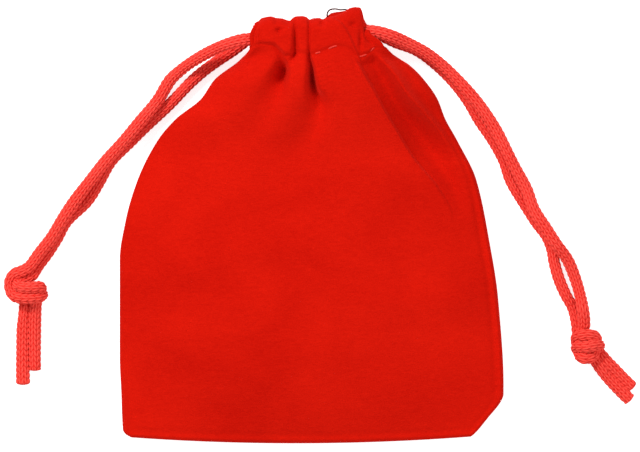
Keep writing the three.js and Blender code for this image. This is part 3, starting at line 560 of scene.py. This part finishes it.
def front_panel(material):
    lines = [inset_edge(LEFT_EDGE, -1), LEFT_HOLLOW["line"], MIDDLE_HOLLOW["line"], TUCK["line"],
             TUCK["ridge"], inset_edge(RIGHT_EDGE, 1)]
    grid = panel_grid(lines, FRONT_COLUMNS, FRONT_TOP)
    height, up, x, tall = grid
    to_hem = smooth(HEM_BLEND_START, STITCH_HEIGHT, height)
    body = front_body(x, np.minimum(height, STITCH_HEIGHT))
    body = body + seam_bead(x, height) * (1 - smooth(NECK_START, BEAD_FADE_END, height))
    z = body + (front_hem(x, height, up, tall) - body) * to_hem
    ply = CHANNEL_DEEP / 2 + HEM_PLY + HEM_UNDER
    under = FRONT_CORD_Z - ply * np.sqrt(hem_round(up))
    inner = lining(z, np.minimum, -CLOTH)
    inner = inner + (under - inner) * to_hem
    return sewn_panel("front", grid, to_hem, FRONT_CORD_Z, z, inner, material)


def back_panel(material):
    lines = [inset_edge(LEFT_EDGE, -1),
             *[lambda height, gather=gather: back_line(gather, height) for gather in BACK_GATHERS],
             inset_edge(RIGHT_EDGE, 1)]
    grid = panel_grid(lines, BACK_COLUMNS, BACK_TOP)
    height, up, x, _ = grid
    to_hem = smooth(HEM_BLEND_START, STITCH_HEIGHT, height)
    body = np.maximum(back_body(x, height), back_gather(x, height))
    body = body - seam_bead(x, height) * smooth(*BACK_BEAD_STARTS, body)
    z = body + (back_hem(x, height, up) - body) * to_hem
    over = BACK_CORD_Z + (CHANNEL_DEEP / 2 + HEM_PLY) * hem_round(up)
    inner = lining(z, np.maximum, CLOTH)
    inner = inner + (over - inner) * to_hem
    return sewn_panel("back", grid, to_hem, BACK_CORD_Z, inner, z, material)


# Cords

ROUTE_SAMPLES = 40


def smooth_line(points, step):
    """Points every step along a smooth curve through given points."""
    p = np.array(points, float)
    gaps = np.sqrt(np.linalg.norm(np.diff(p, axis=0), axis=1))
    t = np.concatenate([[0], np.cumsum(gaps)])
    first, last = 2 * p[0] - p[1], 2 * p[-1] - p[-2]
    q = np.vstack([first, p, last])
    s = np.concatenate([[-gaps[0]], t, [t[-1] + gaps[-1]]])
    before, after = (s[1:-1] - s[:-2])[:, None], (s[2:] - s[1:-1])[:, None]
    rise, next_rise = (q[1:-1] - q[:-2]) / before, (q[2:] - q[1:-1]) / after
    slope = (rise * after + next_rise * before) / (before + after)
    fine = []
    for i in range(len(p) - 1):
        u = np.linspace(0, 1, ROUTE_SAMPLES, endpoint=i == len(p) - 2)[:, None]
        h = t[i + 1] - t[i]
        fine.append((2 * u**3 - 3 * u**2 + 1) * p[i] + (u**3 - 2 * u**2 + u) * h * slope[i]
                    + (3 * u**2 - 2 * u**3) * p[i + 1] + (u**3 - u**2) * h * slope[i + 1])
    fine = np.vstack(fine)
    along = np.concatenate([[0], np.cumsum(np.linalg.norm(np.diff(fine, axis=0), axis=1))])
    even = np.linspace(0, along[-1], max(2, round(along[-1] / step)))
    return np.stack([np.interp(even, along, fine[:, k]) for k in range(3)], axis=1)


def carried_frames(line):
    """Two directions square to the line at each point, carried along it without twist."""
    tangent = np.gradient(line, axis=0)
    tangent /= np.linalg.norm(tangent, axis=1)[:, None]
    side = np.cross(tangent[0], (0, 0, 1.0))
    side /= np.linalg.norm(side)
    sides = [side]
    for t in tangent[1:]:
        side = side - t * np.dot(side, t)
        side /= np.linalg.norm(side)
        sides.append(side)
    sides = np.array(sides)
    return sides, np.cross(tangent, sides)


KNIT_RIBS = 6
STITCH_LENGTH = 1.45
CORD_RINGS_STEP = 0.18
CORD_AROUND = 72
KNIT_DEPTH = 0.4
KNIT_SINK = 0.75
V_SLANT = 0.85
RIB_GROOVE, RIB_POWER = 0.75, 2.2
# Size, pitch and start of each slow change of the cord's thickness
CORD_UNEVEN = ((0.03, 5.3, 1.3), (0.02, 2.1, 0))
CORD_CAP = 0.5
THIN_END = 0.02
GROUND_CLEARANCE = 0.02
CORD_PRESS = (1.07, 1.07, 0.94)
TAIL_PRESS = -0.08
LEFT_TAIL_SPREAD = 0.1
TAIL_REACH = 14
TAIL_EASE = 4
THREAD_STEP = 0.12
THREAD_AROUND = 8
THREAD_RADIUS = 0.19
THREAD_TIP_STEEPNESS = 12
FRONT_STITCHES = [(0.9, 2.3), (4.1, 6.7), (12.1, 14.2), (14.9, 16.1)]
BACK_STITCHES_FROM, BACK_STITCHES_TO = -14.2, 14
STITCH_PITCH = 3.15
STITCH_REACH = 2.2
STITCH_RISE = np.array([-0.3, 0.08, 0.14, 0.08, -0.3])
STITCH_LIFT = 0.15
LOOSE_THREAD = [(4.1, 108.8, 5.6), (4, 109.6, 5.9), (4.2, 110.4, 6), (4.85, 111, 6.1), (6.2, 111.15, 6.1),
                (7.3, 110.95, 6), (8.6, 111, 5.8), (9.4, 110.8, 5.4)]


def knit_height(around, along):
    """Relief of a knit cord from 0 to 1: ribs along it, each a row of V stitches."""
    rib = around * KNIT_RIBS / (2 * math.pi)
    inside = 2 * (rib - np.floor(rib)) - 1
    leg = (along / STITCH_LENGTH + V_SLANT * np.abs(inside)) % 1.0
    yarn = np.sqrt(np.clip(1 - (2 * leg - 1) ** 2, 0, 1))
    plump = 1 - RIB_GROOVE * np.abs(2 * np.abs(inside) - 1) ** RIB_POWER
    return yarn * plump


def tube_quads(index):
    """Quads of a tube from its rings of point numbers, each end closed by strips across it."""
    nxt = np.roll(index, -1, axis=1)
    wall = np.stack([index[:-1], nxt[:-1], nxt[1:], index[1:]], axis=-1).reshape(-1, 4)
    strips = index.shape[1] // 2 - 1

    def cap(ring):
        back = ring[::-1]
        return np.stack([ring[:strips], ring[1:strips + 1], back[1:strips + 1], back[:strips]], axis=-1)

    return np.concatenate([wall, cap(index[0])[:, ::-1], cap(index[-1])])


def knit_cord(name, route, material, tail_spread):
    """A knit cord along a route, its tail pressed wider, and the points that it follows, in metres."""
    line = smooth_line(route, CORD_RINGS_STEP)
    side, over = carried_frames(line)
    along = np.arange(len(line))[:, None] * CORD_RINGS_STEP
    around = np.linspace(0, 2 * math.pi, CORD_AROUND, endpoint=False)[None, :]
    relief = knit_height(around, along)
    radius = CORD / 2 - KNIT_DEPTH * KNIT_SINK + KNIT_DEPTH * relief
    radius = radius * (1 + sum(size * np.sin(along / pitch + start) for size, pitch, start in CORD_UNEVEN))
    cap = np.clip(np.minimum(along, along[-1] - along) / CORD_CAP, THIN_END, 1)
    radius = radius * np.sqrt(cap * (2 - cap))
    ring = side[:, None, :] * np.cos(around)[..., None] + over[:, None, :] * np.sin(around)[..., None]
    tail = smooth(TAIL_REACH + TAIL_EASE, TAIL_REACH, along[-1] - along)[..., None]
    press = np.array(CORD_PRESS) + np.array([tail_spread, tail_spread, TAIL_PRESS]) * tail
    points = line[:, None, :] + ring * radius[..., None] * press
    points[..., 2] = np.maximum(points[..., 2], GROUND_CLEARANCE)
    quads = tube_quads(np.arange(radius.size).reshape(radius.shape))
    cord = mesh_object(name, in_frame(points.reshape(-1, 3)), quads, material)
    # The relief is also kept on the mesh for the material, which paints shade into the gaps between stitches
    stored = cord.data.attributes.new("relief", "FLOAT", "POINT")
    stored.data.foreach_set("value", relief.astype(np.float32).ravel())
    return cord, in_frame(line)


def thread_tube(points):
    """Points and quads of a fine thread through given points, its ends closed to a tip."""
    line = smooth_line(points, THREAD_STEP)
    side, over = carried_frames(line)
    around = np.linspace(0, 2 * math.pi, THREAD_AROUND, endpoint=False)[None, :, None]
    share = np.linspace(0, 1, len(line))[:, None, None]
    tips = np.clip(THREAD_TIP_STEEPNESS * np.minimum(share, 1 - share), THIN_END, 1)
    ring = side[:, None, :] * np.cos(around) + over[:, None, :] * np.sin(around)
    points = (line[:, None, :] + THREAD_RADIUS * np.sqrt(tips) * ring).reshape(-1, 3)
    return points, tube_quads(np.arange(len(points)).reshape(-1, THREAD_AROUND))


def hem_stitches(material):
    """The stitches that close the hems: the few in front that stand out of the pile, and the back's."""
    count = len(STITCH_RISE)
    seam = np.full(count, STITCH_HEIGHT), np.zeros(count)
    stitches = []
    for start, end in FRONT_STITCHES:
        x = np.linspace(start, end, count)
        up = STITCH_LINE(x) + STITCH_LIFT
        front = front_hem(x, *seam, up) + STITCH_RISE
        stitches.append(thread_tube(np.stack([x, up, front], axis=1)))
    for start in np.arange(BACK_STITCHES_FROM, BACK_STITCHES_TO, STITCH_PITCH):
        x = np.linspace(start, start + STITCH_REACH, count)
        back = back_hem(x, *seam) - STITCH_RISE
        stitches.append(thread_tube(np.stack([x, STITCH_LINE(x) + STITCH_LIFT, back], axis=1)))
    points, quads = joined(stitches)
    return mesh_object("hem_stitches", in_frame(points), quads, material)


def loose_thread(material):
    """The stray end of dark thread that loops over the top of the back hem."""
    points, quads = thread_tube(LOOSE_THREAD)
    return mesh_object("loose_thread", in_frame(points), quads, material)


CHANNEL_STRAIGHT_START = 8
TURN_APPROACH = 0.7
TURN_STEP = 30
LEAVING_RISE = 0.7


def channel_run(side, height, exit_height, reach):
    """A cord's way through both hems: in by the front one, round at the far side, and out by the back one."""
    radius = (HEM_CORD_Z - BACK_CORD_Z) / 2
    middle = (HEM_CORD_Z + BACK_CORD_Z) / 2
    turn_start = -side * (reach - radius)
    straight = [(side * CHANNEL_END, exit_height),
                (side * CHANNEL_STRAIGHT_START, (height + exit_height) / 2),
                (0, height), (turn_start * TURN_APPROACH, height)]
    turn = [(turn_start - side * radius * math.cos(a), height, middle + radius * math.sin(a))
            for a in np.radians(np.arange(90, -91, -TURN_STEP))]
    leave = [(*straight[0], HEM_CORD_Z + LEAVING_RISE)]
    return (leave + [(x, up, HEM_CORD_Z) for x, up in straight[1:]] + turn
            + [(x, up, BACK_CORD_Z) for x, up in reversed(straight)])


# Materials

def new_material(name, roughness, specular):
    """A material, its nodes and links, and its surface shader."""
    made = bpy.data.materials.new(name)
    made.use_nodes = True
    nodes = made.node_tree.nodes
    surface = nodes["Principled BSDF"]
    surface.inputs["Roughness"].default_value = roughness
    surface.inputs["Specular IOR Level"].default_value = specular
    return made, nodes, made.node_tree.links, surface


def noise(nodes, links, vector, stretch, detail, distortion=0.0):
    """Noise of about one feature per 1/stretch metres each way."""
    spread = nodes.new("ShaderNodeMapping")
    spread.inputs["Scale"].default_value = stretch
    links.new(vector, spread.inputs["Vector"])
    made = nodes.new("ShaderNodeTexNoise")
    made.inputs["Scale"].default_value = 1
    made.inputs["Detail"].default_value = detail
    made.inputs["Distortion"].default_value = distortion
    links.new(spread.outputs["Vector"], made.inputs["Vector"])
    return made.outputs["Fac"]


def weighted(nodes, links, parts):
    """The sum of outputs, each times its weight."""
    total = None
    for output, weight in parts:
        part = nodes.new("ShaderNodeMath")
        part.operation = "MULTIPLY_ADD"
        part.inputs[1].default_value = weight
        links.new(output, part.inputs[0])
        if total is None:
            part.inputs[2].default_value = 0
        else:
            links.new(total, part.inputs[2])
        total = part.outputs[0]
    return total


def colour_ramp(nodes, places):
    ramp = nodes.new("ShaderNodeValToRGB")
    for stop, (position, colour) in zip(ramp.color_ramp.elements, places):
        stop.position = position
        stop.color = (*colour, 1)
    return ramp


def bumped(nodes, links, surface, height, strength, distance):
    """Gives a surface fine relief from an output of about 0 to 1."""
    bump = nodes.new("ShaderNodeBump")
    bump.inputs["Strength"].default_value = strength
    bump.inputs["Distance"].default_value = distance
    links.new(height, bump.inputs["Height"])
    links.new(bump.outputs["Normal"], surface.inputs["Normal"])


def velvet_material():
    made, nodes, links, surface = new_material("red_velvet", roughness=0.95, specular=0.05)
    surface.inputs["Sheen Weight"].default_value = 0.7
    surface.inputs["Sheen Roughness"].default_value = 0.38
    surface.inputs["Sheen Tint"].default_value = (1.0, 0.045, 0.025, 1)
    place = nodes.new("ShaderNodeTexCoord").outputs["Object"]
    pile = noise(nodes, links, place, (2600, 3000, 2600), 3)
    brushed = noise(nodes, links, place, (520, 1500, 900), 4, 1.2)
    cloud = noise(nodes, links, place, (30, 46, 40), 5, 0.8)
    ramp = colour_ramp(nodes, ((0.32, (0.49, 0.0034, 0.0005)), (0.68, (0.7, 0.0092, 0.002))))
    links.new(weighted(nodes, links, ((pile, 0.29), (brushed, 0.29), (cloud, 0.42))), ramp.inputs["Fac"])
    links.new(ramp.outputs["Color"], surface.inputs["Base Color"])
    nap = weighted(nodes, links, ((pile, 0.5), (brushed, 0.5)))
    bumped(nodes, links, surface, nap, strength=0.6, distance=0.00025)
    return made


def cord_material():
    """Knit yarn with fine fibres: the raised stitches are the yarn's own red, and painted shade, a deeper
    red, fills the gaps between them.
    """
    made, nodes, links, surface = new_material("red_knit_cord", roughness=0.8, specular=0.08)
    surface.inputs["Sheen Weight"].default_value = 0.2
    surface.inputs["Sheen Roughness"].default_value = 0.4
    surface.inputs["Sheen Tint"].default_value = (1.0, 0.14, 0.1, 1)
    relief = nodes.new("ShaderNodeAttribute")
    relief.attribute_name = "relief"
    place = nodes.new("ShaderNodeTexCoord").outputs["Object"]
    fibre = noise(nodes, links, place, (2600, 2600, 2600), 4)
    patch = noise(nodes, links, place, (160, 160, 160), 2)
    # Painted shade: the low stop is a deeper red painted into the gaps between stitches, and the high stop is
    # the yarn's own red on the raised stitches
    ramp = colour_ramp(nodes, ((0.36, (0.68, 0.004, 0.0015)), (0.8, (0.98, 0.084, 0.062))))
    gap_shade_and_tone = weighted(nodes, links, ((relief.outputs["Fac"], 0.62), (fibre, 0.4), (patch, 0.2)))
    links.new(gap_shade_and_tone, ramp.inputs["Fac"])
    links.new(ramp.outputs["Color"], surface.inputs["Base Color"])
    bumped(nodes, links, surface, fibre, strength=0.35, distance=0.0002)
    return made


# The darker and the lighter colour of each thread
RED_THREAD = ((0.65, 0.022, 0.014), (0.85, 0.06, 0.04))
DARK_THREAD = ((0.022, 0.008, 0.007), (0.06, 0.016, 0.013))


def thread_material(name, dark, light):
    made, nodes, links, surface = new_material(name, roughness=0.7, specular=0.25)
    place = nodes.new("ShaderNodeTexCoord").outputs["Object"]
    ramp = colour_ramp(nodes, ((0.35, dark), (0.65, light)))
    links.new(noise(nodes, links, place, (3500, 3500, 3500), 3), ramp.inputs["Fac"])
    links.new(ramp.outputs["Color"], surface.inputs["Base Color"])
    return made


PAPER_GLOW = 0.75


def paper_material():
    """White paper that shows as pure white where no shadow falls on it."""
    made, nodes, links, surface = new_material("white_paper", roughness=0.95, specular=0)
    surface.inputs["Base Color"].default_value = (0.8, 0.8, 0.8, 1)
    surface.inputs["Emission Color"].default_value = (1, 1, 1, 1)
    path = nodes.new("ShaderNodeLightPath")
    glow = nodes.new("ShaderNodeMath")
    glow.operation = "MULTIPLY"
    glow.inputs[1].default_value = PAPER_GLOW
    links.new(path.outputs["Is Camera Ray"], glow.inputs[0])
    links.new(glow.outputs[0], surface.inputs["Emission Strength"])
    return made


# Camera, from the photograph: straight down on the pouch, with a long lens
CAMERA_DISTANCE = 2.4
SENSOR = 36
picture_width = PHOTO_SIZE[0] / PIXELS_PER_MM * MM
camera_data = bpy.data.cameras.new("camera")
camera_data.sensor_width = SENSOR
camera_data.lens = SENSOR * CAMERA_DISTANCE / picture_width
camera = bpy.data.objects.new("camera", camera_data)
camera.location = ((PHOTO_SIZE[0] / 2 - PHOTO_ORIGIN[0]) / PIXELS_PER_MM * MM,
                   (PHOTO_ORIGIN[1] - PHOTO_SIZE[1] / 2) / PIXELS_PER_MM * MM, CAMERA_DISTANCE)
bpy.context.scene.collection.objects.link(camera)
bpy.context.scene.camera = camera

# Cords
CORDS = (
    {"name": "left", "side": -1, "height": LOWER_CORD_HEIGHT, "exit": LOWER_CORD_HEIGHT,
     "reach": LEFT_TURN_REACH, "tail_spread": LEFT_TAIL_SPREAD,
     "front": LEFT_FRONT_RUN + LEFT_KNOT_FRONT, "back": LEFT_BACK_RUN + LEFT_KNOT_BACK},
    {"name": "right", "side": 1, "height": UPPER_CORD_HEIGHT, "exit": RIGHT_EXIT_HEIGHT,
     "reach": RIGHT_TURN_REACH, "tail_spread": 0,
     "front": RIGHT_FRONT_RUN + RIGHT_KNOT_FRONT, "back": RIGHT_BACK_RUN + RIGHT_KNOT_BACK},
)
knit = cord_material()
for cord in CORDS:
    name, side, spread = cord["name"], cord["side"], cord["tail_spread"]
    back_exit = (side * CHANNEL_END, cord["exit"], BACK_CORD_Z)
    channel = channel_run(side, cord["height"], cord["exit"], cord["reach"])
    front, front_path = knit_cord(f"{name}_cord_front_strand", channel[::-1] + cord["front"], knit, spread)
    back, back_path = knit_cord(f"{name}_cord_back_strand", [back_exit] + cord["back"], knit, spread)
    for piece, line in ((front, front_path), (back, back_path)):
        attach(piece, "root")
    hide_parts(f"{name}_cord", f"{name}_knot", f"{name}_tail_long", f"{name}_tail_short")

# Panels
velvet = velvet_material()
for panel, node in ((front_panel(velvet), "front_panel"), (back_panel(velvet), "back_panel")):
    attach(panel, "root")
    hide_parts(node)

# Thread
for piece in (hem_stitches(thread_material("red_thread", *RED_THREAD)),
              loose_thread(thread_material("dark_thread", *DARK_THREAD))):
    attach(piece, "root")

# Floor and light
WORLD_LIGHT = 0.56
FLOOR_HALF = 2
FLOOR_DROP = 0.0002
# Name, place, size and power of each light; all of them face the pouch
LIGHTS = (("key", (-0.42, 0.42, 0.6), 0.22, 4.8), ("fill", (0.62, -0.22, 0.6), 0.8, 2.4))
corners = [(x * FLOOR_HALF, y * FLOOR_HALF, 0) for x, y in ((-1, -1), (1, -1), (1, 1), (-1, 1))]
floor = mesh_object("floor", corners, [(0, 1, 2, 3)], paper_material())
floor.location.z = -FLOOR_DROP
world = bpy.data.worlds.new("studio")
world.use_nodes = True
sky = world.node_tree.nodes["Background"]
sky.inputs["Color"].default_value = (1, 1, 1, 1)
sky.inputs["Strength"].default_value = WORLD_LIGHT
bpy.context.scene.world = world


def soft_light(name, place, size, power):
    data = bpy.data.lights.new(name, "AREA")
    data.shape = "SQUARE"
    data.size = size
    data.energy = power
    light = bpy.data.objects.new(name, data)
    light.location = place
    light.rotation_mode = "QUATERNION"
    light.rotation_quaternion = (-Vector(place)).to_track_quat("-Z", "Y")
    bpy.context.scene.collection.objects.link(light)


for light in LIGHTS:
    soft_light(*light)

bpy.context.scene.view_settings.view_transform = "Standard"
